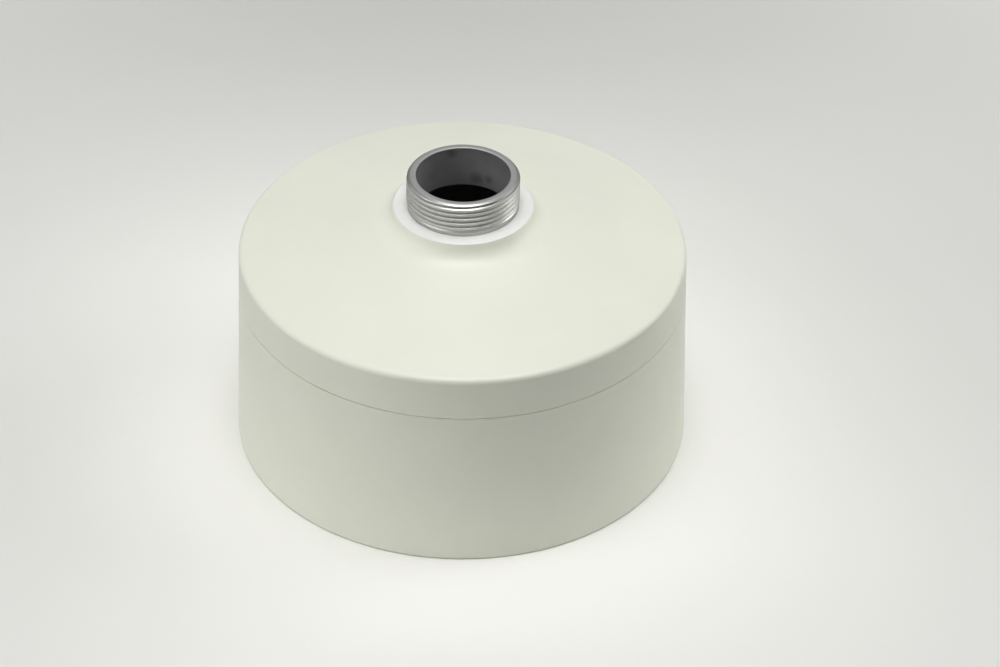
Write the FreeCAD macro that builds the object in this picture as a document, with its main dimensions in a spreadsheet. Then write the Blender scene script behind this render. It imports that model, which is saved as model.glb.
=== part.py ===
import FreeCAD, Part
import math
import os
import re
import Sketcher

V = FreeCAD.Vector

# Every driving size, in millimetres and degrees: name, value, meaning.
SIZES = (
    ("foot_radius", 97.9, "outside of the drum at its open bottom rim"),
    ("rim_radius", 95.0, "outside of the drum where wall and roof meet"),
    ("rim_round", 2.3, "rounding of that corner"),
    ("seam_height", 73.2, "joint between cap and housing, above the bottom rim"),
    ("skirt_height", 18.8, "height of the cap's skirt above the seam"),
    ("seam_gap", 0.4, "open joint line seen from outside"),
    ("roof_slope", 13.5, "roof's rise towards the boss, in degrees"),
    ("roof_wall", 3.4, "thickness of the roof"),
    ("skirt_wall", 3.2, "thickness of the cap's skirt"),
    ("inner_round", 2.5, "casting radius inside the cap"),
    ("boss_land", 5.9, "width of the flat on top of the boss, outside the thread"),
    ("boss_rise", 4.75, "height of that flat above the roof's cone"),
    ("blend_width", 7.0, "width of the curve from the roof up to the boss"),
    ("seat_depth", 3.9, "seat of the nipple's flange below the flat"),
    ("hub_edge", 5.8, "ring under the boss, around the nipple's flange"),
    ("hub_depth", 0.5, "underside of that ring below the roof's underside"),
    ("rib_thickness", 2.4, "ribs under the roof"),
    ("rib_count", 8, "number of ribs"),
    ("rib_rise", 0.3, "ribs start this far above the hub's underside"),
    ("rib_foot_rise", 5.8, "lowest point of the ribs, at the skirt, above the seam"),
    ("post_inset", 11.4, "screw posts' axes inside the skirt's inner face"),
    ("post_radius", 6.0, "outside of a screw post"),
    ("post_angle", 45.0, "direction of the first screw post"),
    ("tongue_depth", 3.0, "cap's tongue below the seam"),
    ("tongue_clear", 0.2, "play around the tongue"),
    ("lip_wall", 1.5, "housing's lip outside the tongue"),
    ("gasket_height", 1.0, "seam gasket under the tongue"),
    ("housing_wall", 3.0, "thickness of the housing's wall"),
    ("band_wall", 4.4, "thicker band that carries the gasket"),
    ("band_drop", 12.0, "length of the taper below that band"),
    ("foot_round", 1.0, "outer rounding of the bottom rim"),
    ("lug_height", 7.0, "thickness of the housing's screw lugs"),
    ("lug_radius", 7.0, "half width of a lug"),
    ("web_thickness", 3.0, "web under each lug"),
    ("web_drop", 24.0, "length of that web"),
    ("web_clear", 0.8, "room between the web and the screw's head"),
    ("big_screw_radius", 2.5, "shank of a housing screw"),
    ("big_screw_length", 17.0, "shank length of a housing screw"),
    ("big_head_radius", 4.4, "head of a housing screw"),
    ("big_head_height", 3.2, "head of a housing screw"),
    ("big_key", 4.0, "hexagon socket across flats"),
    ("small_screw_radius", 2.0, "shank of the smaller screws"),
    ("small_screw_length", 10.0, "shank length of the smaller screws"),
    ("small_head_radius", 3.6, "head of the smaller screws"),
    ("small_head_height", 2.5, "head of the smaller screws"),
    ("small_key", 3.0, "hexagon socket across flats"),
    ("key_depth", 1.6, "depth of the hexagon sockets"),
    ("tip_bevel", 0.8, "bevelled tip of each screw"),
    ("screw_clear", 0.2, "play between a shank and its hole"),
    ("thread_spare", 2.0, "tapped holes run this far past the screw"),
    ("thread_radius", 23.9, "outside of the pipe thread"),
    ("nipple_wall", 4.05, "wall from the thread's outside to the smooth bore"),
    ("thread_length", 11.36, "full thread below the lead chamfer"),
    ("neck_step", 0.5, "the plain neck below the thread is this much slimmer"),
    ("nipple_reach", 15.7, "height of the nipple's top face above the boss"),
    ("lead_width", 1.54, "width of the thread's lead chamfer"),
    ("lead_height", 1.54, "height of that chamfer"),
    ("bore_length", 18.6, "straight bore below the top face"),
    ("mouth_step", 6.25, "flared mouth below the bore, at the flange's underside"),
    ("neck_clear", 0.25, "play between nipple and cap"),
    ("flange_height", 3.0, "thickness of the nipple's flange under the roof"),
    ("flange_edge", 1.25, "flange's rim outside the seal's groove"),
    ("flange_clear", 0.2, "play around the flange"),
    ("seal_inset", 1.2, "inside of the seal's groove, outside the neck's hole"),
    ("seal_width", 2.4, "width of the groove"),
    ("seal_height", 1.4, "depth of the groove"),
    ("seal_clear", 0.2, "play at the sides of the seal"),
    ("seal_bevel", 0.4, "bevelled corners of the seal"),
    ("washer_height", 0.9, "white washer on the boss"),
    ("washer_clear", 0.35, "play between washer and thread"),
    ("plate_clear", 3.1, "play between the camera plate and the housing's wall"),
    ("plate_floor", 12.0, "underside of the plate above the bottom rim"),
    ("plate_thickness", 2.0, "thickness of the plate"),
    ("plate_edge", 6.4, "plate screws' axes inside the plate's edge"),
    ("pad_width", 11.0, "width of the cast pads that carry the plate"),
    ("pad_reach", 5.5, "those pads reach this far inside the screws' axes"),
    ("pad_height", 15.0, "height of a pad at its inner face"),
    ("pad_rise", 12.0, "further rise of its top to the wall"),
    ("pad_round", 3.5, "rounded corners of a pad"),
    ("cable_hole", 27.5, "radius of the plate's cable hole"),
    ("grommet_neck", 3.8, "rubber inside the cable hole's edge"),
    ("grommet_grip", 3.5, "lips' reach over the plate"),
    ("grommet_lip", 1.6, "thickness of each lip"),
    ("grommet_clear", 0.2, "play in the cable hole"),
    ("grommet_bevel", 0.6, "bevelled edges of the lips"),
    ("camera_circle", 60.0, "distance of the camera's fixings from the axis"),
    ("camera_angle", 22.5, "direction of the first camera fixing"),
    ("camera_hole", 2.75, "radius of the camera's screw holes"),
    ("nut_flats", 8.0, "weld nut across flats"),
    ("nut_height", 4.0, "height of a weld nut"),
    ("nut_bore", 2.2, "thread of a weld nut"),
    ("point_inset", 27.0, "earth point and eye outside the hub"),
    ("ground_angle", 112.5, "direction of the earth point"),
    ("eye_angle", 292.5, "direction of the safety eye"),
    ("point_radius", 5.0, "outside of the two small bosses"),
    ("point_drop", 7.5, "their undersides below the roof's underside"),
    ("ground_washer_radius", 4.8, "earth washer"),
    ("ground_washer_height", 0.8, "earth washer"),
    ("ground_screw_length", 7.0, "shank length of the earth screw"),
    ("eye_ring", 6.5, "centre line of the eye's ring"),
    ("eye_wire", 1.7, "radius of the eye's wire"),
    ("eye_collar_radius", 4.4, "collar against the boss"),
    ("eye_collar_height", 1.8, "collar against the boss"),
    ("eye_shank", 2.5, "threaded shank of the eye"),
    ("eye_shank_length", 6.0, "length of that shank"),
)
NAMES = {name for name, _, _ in SIZES}

doc = FreeCAD.newDocument("PendantMount")
sheet = doc.addObject("Spreadsheet::Sheet", "Sizes")
for row, (name, number, meaning) in enumerate(SIZES, start=1):
    sheet.set(f"A{row}", name)
    sheet.set(f"B{row}", str(number))
    sheet.set(f"C{row}", meaning)
    sheet.setAlias(f"B{row}", name)
doc.recompute()


def bound(formula):
    """Write a formula of size names as an expression on the sheet."""
    return re.sub(r"[a-z]\w*", lambda w: "Sizes." + w[0] if w[0] in NAMES else w[0], formula)


def value(formula):
    """Work out a formula of size names."""
    return float(sheet.evalExpression(bound(formula)))


RIM_HEIGHT = "(seam_height + skirt_height)"


def wall_at(height):
    """Outside radius of the tapered drum at a height."""
    return f"(foot_radius + (rim_radius - foot_radius) * ({height}) / {RIM_HEIGHT})"


def roof_at(radius):
    """Height of the roof's outside at a radius."""
    return f"({RIM_HEIGHT} + (rim_radius - ({radius})) * tan(roof_slope))"


def ceiling_at(radius):
    """Height of the roof's underside at a radius."""
    return f"({roof_at(radius)} - roof_wall / cos(roof_slope))"


# Derived places that more than one piece uses.
SEAM_OUTSIDE = wall_at("seam_height")
TONGUE_INSIDE = f"({SEAM_OUTSIDE} - skirt_wall)"
TONGUE_OUTSIDE = f"({SEAM_OUTSIDE} - lip_wall - tongue_clear)"
SHELF = "(seam_height - tongue_depth - gasket_height)"
POST_CIRCLE = f"({TONGUE_INSIDE} - post_inset)"
RIB_FOOT = "(seam_height + rib_foot_rise)"

BOSS_RADIUS = "(thread_radius + boss_land)"
BOSS_TOP = f"({roof_at(BOSS_RADIUS)} + boss_rise)"
BLEND_RADIUS = f"({BOSS_RADIUS} + blend_width)"
NECK_HOLE = "(thread_radius + neck_clear)"
BORE_RADIUS = "(thread_radius - nipple_wall)"
SEAL_INSIDE = f"({NECK_HOLE} + seal_inset)"
FLANGE_RADIUS = f"({SEAL_INSIDE} + seal_width + flange_edge)"
FLANGE_SEAT = f"({BOSS_TOP} - seat_depth)"
FLANGE_FLOOR = f"({FLANGE_SEAT} - flange_height)"
HUB_INSIDE = f"({FLANGE_RADIUS} + flange_clear)"
HUB_RADIUS = f"({HUB_INSIDE} + hub_edge)"
HUB_FLOOR = f"({ceiling_at(HUB_RADIUS)} - hub_depth)"
NIPPLE_TOP = f"({BOSS_TOP} + nipple_reach)"
POINT_CIRCLE = f"({HUB_RADIUS} + point_inset)"
POINT_FLOOR = f"({ceiling_at(POINT_CIRCLE + ' + point_radius')} - point_drop)"

PLATE_TOP = "(plate_floor + plate_thickness)"
PLATE_RADIUS = f"({wall_at('plate_floor')} - housing_wall - plate_clear)"
PLATE_CIRCLE = f"({PLATE_RADIUS} - plate_edge)"
PAD_INSIDE = f"({PLATE_CIRCLE} - pad_reach)"


def new_body(label):
    """Start a solid with a label of its own."""
    body = doc.addObject("PartDesign::Body", "Body_" + label)
    body.Label = label
    return body


def datum(body, role):
    """One of the body's own origin planes or axes."""
    return next(part for part in body.Origin.OriginFeatures if part.Role == role)


def new_sketch(body, name, plane, lift=None):
    """Add a sketch on an origin plane, raised along the plane's normal by a formula."""
    sketch = body.newObject("Sketcher::SketchObject", name)
    sketch.AttachmentSupport = [(datum(body, plane), "")]
    sketch.MapMode = "FlatFace"
    if lift:
        sketch.setExpression("AttachmentOffset.Base.z", bound(lift))
    return sketch


def pin_point(sketch, geometry, end, x, y):
    """Hold one end of a sketch line at two formulas."""
    for kind, axis, formula in (("DistanceX", -2, x), ("DistanceY", -1, y)):
        if formula == "0":
            sketch.addConstraint(Sketcher.Constraint("PointOnObject", geometry, end, axis))
            continue
        index = sketch.addConstraint(
            Sketcher.Constraint(kind, -1, 1, geometry, end, value(formula)))
        sketch.setExpression(f"Constraints[{index}]", bound(formula))


def arc_after(before, start, end):
    """Arc from start to end that leaves the line from before to start without a corner."""
    along = (start - before).normalize()
    normal = V(-along.y, along.x, 0)
    chord = end - start
    reach = chord.dot(chord) / (2 * chord.dot(normal))
    centre = start + normal * reach
    middle = (start + end) * 0.5 - centre
    return Part.Arc(start, centre + middle.normalize() * abs(reach), end)


def outline(body, name, plane, corners, arcs=(), lift=None):
    """Add a closed sketch with its corners at formulas.

    The segments numbered in arcs are arcs that run on from the segment before them.
    """
    sketch = new_sketch(body, name, plane, lift)
    count = len(corners)
    places = [V(value(x), value(y), 0) for x, y in corners]
    ends = []
    for i, start in enumerate(places):
        end = places[(i + 1) % count]
        if i in arcs:
            sketch.addGeometry(arc_after(places[i - 1], start, end))
        else:
            sketch.addGeometry(Part.LineSegment(start, end))
        first = sketch.getPoint(i, 1).distanceToPoint(start) < 1e-6
        ends.append((1, 2) if first else (2, 1))
    for i, (x, y) in enumerate(corners):
        kind = "Tangent" if i in arcs else "Coincident"
        before = (i - 1) % count
        sketch.addConstraint(Sketcher.Constraint(kind, before, ends[before][1], i, ends[i][0]))
        pin_point(sketch, i, ends[i][0], x, y)
    return sketch


def circles(body, name, plane, rounds, lift=None):
    """Add a sketch of circles, each with its centre and radius as formulas."""
    sketch = new_sketch(body, name, plane, lift)
    for i, (x, y, radius) in enumerate(rounds):
        sketch.addGeometry(Part.Circle(V(value(x), value(y), 0), V(0, 0, 1), value(radius)))
        pin_point(sketch, i, 3, x, y)
        index = sketch.addConstraint(Sketcher.Constraint("Radius", i, value(radius)))
        sketch.setExpression(f"Constraints[{index}]", bound(radius))
    return sketch


def polar(circle, angle):
    """Formulas of a point at a distance and a direction."""
    return f"({circle}) * cos({angle})", f"({circle}) * sin({angle})"


def spin(body, name, corners, arcs=()):
    """Turn a profile in the XZ plane once around Z."""
    profile = outline(body, name + "Profile", "XZ_Plane", corners, arcs)
    feature = body.newObject("PartDesign::Revolution", name)
    feature.Profile = profile
    feature.ReferenceAxis = (profile, ["V_Axis"])
    feature.Angle = 360
    doc.recompute()
    return feature


def raise_pad(body, name, sketch, length, symmetric=False, reverse=False):
    """Pad a sketch by a formula."""
    pad = body.newObject("PartDesign::Pad", name)
    pad.Profile = sketch
    pad.setExpression("Length", bound(length))
    pad.SideType = "Symmetric" if symmetric else "One side"
    pad.Reversed = reverse
    doc.recompute()
    return pad


def pad_to_roof(body, name, sketch):
    """Pad a sketch up to the first face above it."""
    pad = body.newObject("PartDesign::Pad", name)
    pad.Profile = sketch
    pad.Type = "UpToFirst"
    doc.recompute()
    return pad


def cut_pocket(body, name, sketch, depth, upwards=True):
    """Cut a sketch into the body by a formula, and make sure that it cuts."""
    before = body.Shape.Volume
    pocket = body.newObject("PartDesign::Pocket", name)
    pocket.Profile = sketch
    pocket.setExpression("Length", bound(depth))
    pocket.Reversed = upwards
    doc.recompute()
    if not pocket.Shape.Volume < before - 1e-6:
        raise ValueError(f"{body.Label}: {name} cuts nothing")
    return pocket


def drill(body, name, sketch, radius, depth):
    """Drill blind holes upwards at the sketch's circles, and make sure that they cut."""
    before = body.Shape.Volume
    hole = body.newObject("PartDesign::Hole", name)
    hole.Profile = sketch
    doc.recompute()
    hole.ThreadType = "None"
    hole.HoleCutType = "None"
    hole.DepthType = "Dimension"
    hole.DrillPoint = "Angled"
    hole.DrillPointAngle = 118
    hole.Reversed = True
    hole.setExpression("Diameter", bound(f"2 * ({radius})"))
    hole.setExpression("Depth", bound(depth))
    doc.recompute()
    if not hole.Shape.Volume < before - 1e-6:
        raise ValueError(f"{body.Label}: {name} cuts nothing")
    return hole


def repeat(body, name, features, count):
    """Repeat features around Z."""
    pattern = body.newObject("PartDesign::PolarPattern", name)
    pattern.Originals = features
    pattern.Axis = (datum(body, "Z_Axis"), [""])
    pattern.Angle = 360
    pattern.setExpression("Occurrences", bound(count))
    body.Tip = pattern
    doc.recompute()
    return pattern


def ring_edges(shape, places):
    """Names of the full circles around Z at pairs of radius and height formulas."""
    wanted = [(value(radius), value(height)) for radius, height in places]
    names = []
    for i, edge in enumerate(shape.Edges, start=1):
        curve = edge.Curve
        if not isinstance(curve, Part.Circle) or math.hypot(curve.Center.x, curve.Center.y) > 1e-4:
            continue
        if any(abs(curve.Radius - r) < 1e-4 and abs(curve.Center.z - z) < 1e-4 for r, z in wanted):
            names.append(f"Edge{i}")
    if len(names) < len(wanted):
        raise ValueError(f"found {len(names)} of {len(wanted)} edges")
    return names


def upright_edges(shape, radius, low, high):
    """Names of the straight vertical edges near a distance from Z, between two heights."""
    names = []
    for i, edge in enumerate(shape.Edges, start=1):
        ends = [v.Point for v in edge.Vertexes]
        if len(ends) != 2 or math.hypot(ends[0].x - ends[1].x, ends[0].y - ends[1].y) > 1e-4:
            continue
        heights = sorted(p.z for p in ends)
        if abs(ends[0].x - radius) < 1e-4 and heights[0] > low - 1e-4 and heights[1] < high + 1e-4:
            names.append(f"Edge{i}")
    if not names:
        raise ValueError("found no upright edge")
    return names


def round_edges(body, name, names, radius):
    """Round named edges of the body's last feature by a formula."""
    fillet = body.newObject("PartDesign::Fillet", name)
    fillet.Base = (body.Tip if body.Tip != fillet else fillet.BaseFeature, names)
    fillet.setExpression("Radius", bound(radius))
    doc.recompute()
    return fillet


def place(thing, x="0", y="0", z="0"):
    """Put a finished piece at three formulas."""
    for axis, formula in (("x", x), ("y", y), ("z", z)):
        if formula != "0":
            thing.setExpression(f"Placement.Base.{axis}", bound(formula))


def top_cap():
    """Cone roof with its boss, flange seat, ribs, screw posts, skirt and tongue."""
    body = new_body("top_cap")
    gap_top = "seam_height + seam_gap / 2"
    edge = f"({wall_at(RIM_HEIGHT + ' - roof_wall')} - skirt_wall)"
    shell = spin(body, "Shell", [
        (wall_at(gap_top), gap_top),
        ("rim_radius", RIM_HEIGHT),
        (BLEND_RADIUS, roof_at(BLEND_RADIUS)),
        (BOSS_RADIUS, BOSS_TOP),
        (NECK_HOLE, BOSS_TOP),
        (NECK_HOLE, FLANGE_SEAT),
        (HUB_INSIDE, FLANGE_SEAT),
        (HUB_INSIDE, HUB_FLOOR),
        (HUB_RADIUS, HUB_FLOOR),
        (HUB_RADIUS, ceiling_at(HUB_RADIUS)),
        (edge, ceiling_at(edge)),
        (TONGUE_INSIDE, "seam_height - tongue_depth"),
        (TONGUE_OUTSIDE, "seam_height - tongue_depth"),
        (TONGUE_OUTSIDE, gap_top),
    ], arcs=(2,))
    round_edges(body, "RimRound", ring_edges(shell.Shape, [("rim_radius", RIM_HEIGHT)]),
                "rim_round")
    round_edges(body, "SkirtRound", ring_edges(body.Shape, [(edge, ceiling_at(edge))]),
                "inner_round")
    round_edges(body, "HubRound", ring_edges(body.Shape, [(HUB_RADIUS, ceiling_at(HUB_RADIUS))]),
                "min(inner_round, hub_depth * 0.6)")

    x, y = polar(POST_CIRCLE, "post_angle")
    post = pad_to_roof(body, "Post", circles(
        body, "PostShape", "XY_Plane", [(x, y, "post_radius")], "seam_height"))
    pilot = drill(body, "PostThread", circles(
        body, "PostThreadPlace", "XY_Plane", [(x, y, "big_screw_radius")], "seam_height"),
        "big_screw_radius + screw_clear", "big_screw_length - lug_height + thread_spare")
    repeat(body, "Posts", [post, pilot], "4")

    for word, angle in (("Ground", "ground_angle"), ("Eye", "eye_angle")):
        x, y = polar(POINT_CIRCLE, angle)
        pad_to_roof(body, word + "Boss", circles(
            body, word + "BossShape", "XY_Plane", [(x, y, "point_radius")], POINT_FLOOR))
    for word, angle, radius, depth in (
            ("Ground", "ground_angle", "small_screw_radius",
             "ground_screw_length - ground_washer_height + screw_clear"),
            ("Eye", "eye_angle", "eye_shank", "eye_shank_length + screw_clear")):
        x, y = polar(POINT_CIRCLE, angle)
        drill(body, word + "Thread", circles(
            body, word + "ThreadPlace", "XY_Plane", [(x, y, radius)], POINT_FLOOR),
            f"{radius} + screw_clear", depth)

    rib_inside = f"({HUB_RADIUS} - hub_edge / 4)"
    rib_outside = f"({wall_at(RIB_FOOT)} - skirt_wall / 2)"
    half_roof = "roof_wall / 2 / cos(roof_slope)"
    rib = raise_pad(body, "Rib", outline(body, "RibShape", "XZ_Plane", [
        (rib_inside, f"{HUB_FLOOR} + rib_rise"),
        (rib_outside, RIB_FOOT),
        (rib_outside, f"{roof_at(rib_outside)} - {half_roof}"),
        (rib_inside, f"{roof_at(rib_inside)} - {half_roof}"),
    ]), "rib_thickness", symmetric=True)
    repeat(body, "Ribs", [rib], "rib_count")

    cut_pocket(body, "SealGroove", circles(body, "SealGrooveShape", "XY_Plane", [
        ("0", "0", SEAL_INSIDE), ("0", "0", f"{SEAL_INSIDE} + seal_width")], FLANGE_SEAT),
        "seal_height")
    return body


def drum_housing():
    """Tapered drum with its rabbet, screw lugs and the pads for the camera plate."""
    body = new_body("drum_housing")
    gap_low = "seam_height - seam_gap / 2"
    lip_inside = f"{SEAM_OUTSIDE} - lip_wall"
    taper_end = f"{SHELF} - band_drop"
    shell = spin(body, "Shell", [
        ("foot_radius", "0"),
        (wall_at(gap_low), gap_low),
        (lip_inside, gap_low),
        (lip_inside, SHELF),
        (f"{SEAM_OUTSIDE} - band_wall", SHELF),
        (f"{wall_at(taper_end)} - housing_wall", taper_end),
        ("foot_radius - housing_wall", "0"),
    ])
    round_edges(body, "FootRound", ring_edges(shell.Shape, [("foot_radius", "0")]), "foot_round")

    # A lug's square end stays clear of the tongue and bites into the band below it.
    lug_end = f"sqrt(({TONGUE_INSIDE} - tongue_clear) ^ 2 - lug_radius ^ 2)"
    turn = "post_angle"
    along, across = f"cos({turn})", f"sin({turn})"

    def turned(x, y):
        return f"({x}) * {along} - ({y}) * {across}", f"({x}) * {across} + ({y}) * {along}"

    nose = raise_pad(body, "LugNose", circles(
        body, "LugNoseShape", "XY_Plane", [(*turned(POST_CIRCLE, "0"), "lug_radius")],
        "seam_height"), "lug_height", reverse=True)
    bridge = raise_pad(body, "LugBridge", outline(body, "LugBridgeShape", "XY_Plane", [
        turned(POST_CIRCLE, "0 - lug_radius"), turned(lug_end, "0 - lug_radius"),
        turned(lug_end, "lug_radius"), turned(POST_CIRCLE, "lug_radius"),
    ], lift="seam_height"), "lug_height", reverse=True)
    web_inside = f"({POST_CIRCLE} + big_head_radius + web_clear)"
    web_outside = f"({wall_at('seam_height')} - housing_wall / 2)"
    web_low = "seam_height - lug_height"
    web = raise_pad(body, "LugWeb", outline(body, "LugWebShape", "XY_Plane", [
        turned(web_inside, "0 - web_thickness / 2"),
        turned(web_outside, "0 - web_thickness / 2"),
        turned(web_outside, "web_thickness / 2"),
        turned(web_inside, "web_thickness / 2"),
    ], lift=web_low), "web_drop", reverse=True)
    bore = cut_pocket(body, "LugBore", circles(
        body, "LugBoreShape", "XY_Plane",
        [(*turned(POST_CIRCLE, "0"), "big_screw_radius + screw_clear")], "seam_height"),
        "lug_height", upwards=False)
    repeat(body, "Lugs", [nose, bridge, web, bore], "4")

    pad_peak = f"{PLATE_TOP} + pad_height + pad_rise"
    pad_end = f"({wall_at(pad_peak)} - housing_wall / 2)"
    pad = raise_pad(body, "Pad", outline(body, "PadShape", "XZ_Plane", [
        (PAD_INSIDE, PLATE_TOP),
        (pad_end, PLATE_TOP),
        (pad_end, pad_peak),
        (PAD_INSIDE, f"{PLATE_TOP} + pad_height"),
    ]), "pad_width", symmetric=True)
    names = upright_edges(pad.Shape, value(PAD_INSIDE), value(PLATE_TOP),
                          value(f"{PLATE_TOP} + pad_height"))
    rounds = round_edges(body, "PadRounds", names, "pad_round")
    thread = drill(body, "PadThread", circles(
        body, "PadThreadPlace", "XY_Plane", [(PLATE_CIRCLE, "0", "small_screw_radius")],
        PLATE_TOP), "small_screw_radius + screw_clear",
        "small_screw_length - plate_thickness + thread_spare")
    repeat(body, "Pads", [pad, rounds, thread], "4")
    return body


def pipe_nipple():
    """Threaded pipe stub, pressed in from below until its flange bears on the roof's seat."""
    body = new_body("pipe_nipple")
    neck = "(thread_radius - neck_step)"
    full_thread = f"({NIPPLE_TOP} - lead_height - thread_length)"
    spin(body, "Stub", [
        (BORE_RADIUS, NIPPLE_TOP),
        ("thread_radius - lead_width", NIPPLE_TOP),
        ("thread_radius", f"{NIPPLE_TOP} - lead_height"),
        ("thread_radius", full_thread),
        (neck, full_thread),
        (neck, BOSS_TOP),
        ("thread_radius", BOSS_TOP),
        ("thread_radius", FLANGE_SEAT),
        (FLANGE_RADIUS, FLANGE_SEAT),
        (FLANGE_RADIUS, FLANGE_FLOOR),
        (f"{BORE_RADIUS} + mouth_step", FLANGE_FLOOR),
        (BORE_RADIUS, f"{NIPPLE_TOP} - bore_length"),
    ])
    return body


def nipple_seal():
    """Seal ring between the nipple's flange and its seat."""
    body = new_body("nipple_seal")
    inside = f"{SEAL_INSIDE} + seal_clear"
    outside = f"{SEAL_INSIDE} + seal_width - seal_clear"
    spin(body, "Ring", [
        (f"{inside} + seal_bevel", "0"), (f"{outside} - seal_bevel", "0"),
        (outside, "seal_bevel"), (outside, "seal_height - seal_bevel"),
        (f"{outside} - seal_bevel", "seal_height"), (f"{inside} + seal_bevel", "seal_height"),
        (inside, "seal_height - seal_bevel"), (inside, "seal_bevel"),
    ])
    place(body, z=FLANGE_SEAT)
    return body


def flat_ring(label, inside, outside, height):
    """Flat ring that lies on z = 0 of its own frame."""
    rings = []
    for word, radius in (("outer", outside), ("inner", inside)):
        disc = doc.addObject("Part::Cylinder", f"{label}_{word}")
        disc.setExpression("Radius", bound(radius))
        disc.setExpression("Height", bound(height))
        rings.append(disc)
    ring = doc.addObject("Part::Cut", "Ring_" + label)
    ring.Base, ring.Tool = rings
    ring.Label = label
    doc.recompute()
    return ring


def socket_screw(label, radius, length, head, head_height, key):
    """Screw with its head's seat on z = 0, the shank upwards and the socket below."""
    body = new_body(label)
    spin(body, "Turned", [
        ("0", f"0 - {head_height}"),
        (f"{head} * 0.72", f"0 - {head_height}"),
        (head, f"0 - {head_height} * 0.45"),
        (head, "0"),
        (radius, "0"),
        (radius, f"{length} - tip_bevel"),
        (f"{radius} - tip_bevel", length),
        ("0", length),
    ])
    cut_pocket(body, "Socket", outline(body, "SocketShape", "XY_Plane", [
        polar(f"{key} / 2 / cos(30)", str(60 * i)) for i in range(6)],
        lift=f"0 - {head_height}"), "key_depth")
    return body


def camera_plate():
    """Steel disc inside the bottom rim, with its cable hole and camera fixings."""
    body = new_body("camera_plate")
    raise_pad(body, "Disc", circles(body, "DiscShape", "XY_Plane", [
        ("0", "0", PLATE_RADIUS), ("0", "0", "cable_hole")], "plate_floor"), "plate_thickness")
    for word, circle, angle, radius in (
            ("Screw", PLATE_CIRCLE, "0", "small_screw_radius + screw_clear"),
            ("Camera", "camera_circle", "camera_angle", "camera_hole")):
        hole = cut_pocket(body, word + "Hole", circles(
            body, word + "HoleShape", "XY_Plane", [(*polar(circle, angle), radius)],
            "plate_floor"), "plate_thickness")
        repeat(body, word + "Holes", [hole], "4")
    return body


def cable_grommet():
    """Rubber edge that grips the plate around the cable hole."""
    body = new_body("cable_grommet")
    waist = "(cable_hole - grommet_clear)"
    inside, outside = f"({waist} - grommet_neck)", "(cable_hole + grommet_grip)"
    low, high = "(plate_floor - grommet_lip)", f"({PLATE_TOP} + grommet_lip)"
    spin(body, "Ring", [
        (f"{inside} + grommet_bevel", low), (f"{outside} - grommet_bevel", low),
        (outside, f"{low} + grommet_bevel"), (outside, "plate_floor"),
        (waist, "plate_floor"), (waist, PLATE_TOP), (outside, PLATE_TOP),
        (outside, f"{high} - grommet_bevel"), (f"{outside} - grommet_bevel", high),
        (f"{inside} + grommet_bevel", high), (inside, f"{high} - grommet_bevel"),
        (inside, f"{low} + grommet_bevel"),
    ])
    return body


def camera_nut(label):
    """Hexagonal weld nut on top of the plate."""
    body = new_body(label)
    raise_pad(body, "Hexagon", outline(body, "HexagonShape", "XY_Plane", [
        polar("nut_flats / 2 / cos(30)", str(60 * i)) for i in range(6)]), "nut_height")
    cut_pocket(body, "Thread", circles(body, "ThreadShape", "XY_Plane", [
        ("0", "0", "nut_bore")]), "nut_height")
    return body


def tether_eye():
    """Eye bolt whose ring hangs below its boss; the collar seats on z = 0."""
    parts = []
    for word, radius, height, base in (
            ("shank", "eye_shank", "eye_shank_length", "0"),
            ("collar", "eye_collar_radius", "eye_collar_height", "0 - eye_collar_height")):
        round_bar = doc.addObject("Part::Cylinder", "eye_" + word)
        round_bar.setExpression("Radius", bound(radius))
        round_bar.setExpression("Height", bound(height))
        round_bar.setExpression("Placement.Base.z", bound(base))
        parts.append(round_bar)
    ring = doc.addObject("Part::Torus", "eye_ring_wire")
    ring.setExpression("Radius1", bound("eye_ring"))
    ring.setExpression("Radius2", bound("eye_wire"))
    ring.Placement.Rotation = FreeCAD.Rotation(V(1, 0, 0), 90)
    ring.setExpression("Placement.Base.z", bound("0 - eye_collar_height - eye_ring - eye_wire / 2"))
    parts.append(ring)
    eye = doc.addObject("Part::MultiFuse", "EyeBolt")
    eye.Shapes = parts
    eye.Label = "tether_eye"
    doc.recompute()
    return eye


pieces = [top_cap(), drum_housing(), pipe_nipple(), nipple_seal()]

thread_washer = flat_ring("thread_washer", "thread_radius + washer_clear", BOSS_RADIUS,
                          "washer_height")
place(thread_washer, z=BOSS_TOP)
seam_gasket = flat_ring("seam_gasket", TONGUE_INSIDE, TONGUE_OUTSIDE, "gasket_height")
place(seam_gasket, z=SHELF)
pieces += [thread_washer, seam_gasket, camera_plate(), cable_grommet()]

BIG = ("big_screw_radius", "big_screw_length", "big_head_radius", "big_head_height", "big_key")
SMALL = ("small_screw_radius", "small_screw_length", "small_head_radius", "small_head_height",
         "small_key")
for i in range(4):
    quarter = f"{90 * i}"
    screw = socket_screw(f"housing_screw_{i + 1}", *BIG)
    place(screw, *polar(POST_CIRCLE, f"post_angle + {quarter}"), "seam_height - lug_height")
    pieces.append(screw)
    screw = socket_screw(f"plate_screw_{i + 1}", *SMALL)
    place(screw, *polar(PLATE_CIRCLE, quarter), "plate_floor")
    pieces.append(screw)
    nut = camera_nut(f"camera_nut_{i + 1}")
    place(nut, *polar("camera_circle", f"camera_angle + {quarter}"), PLATE_TOP)
    pieces.append(nut)

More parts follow.
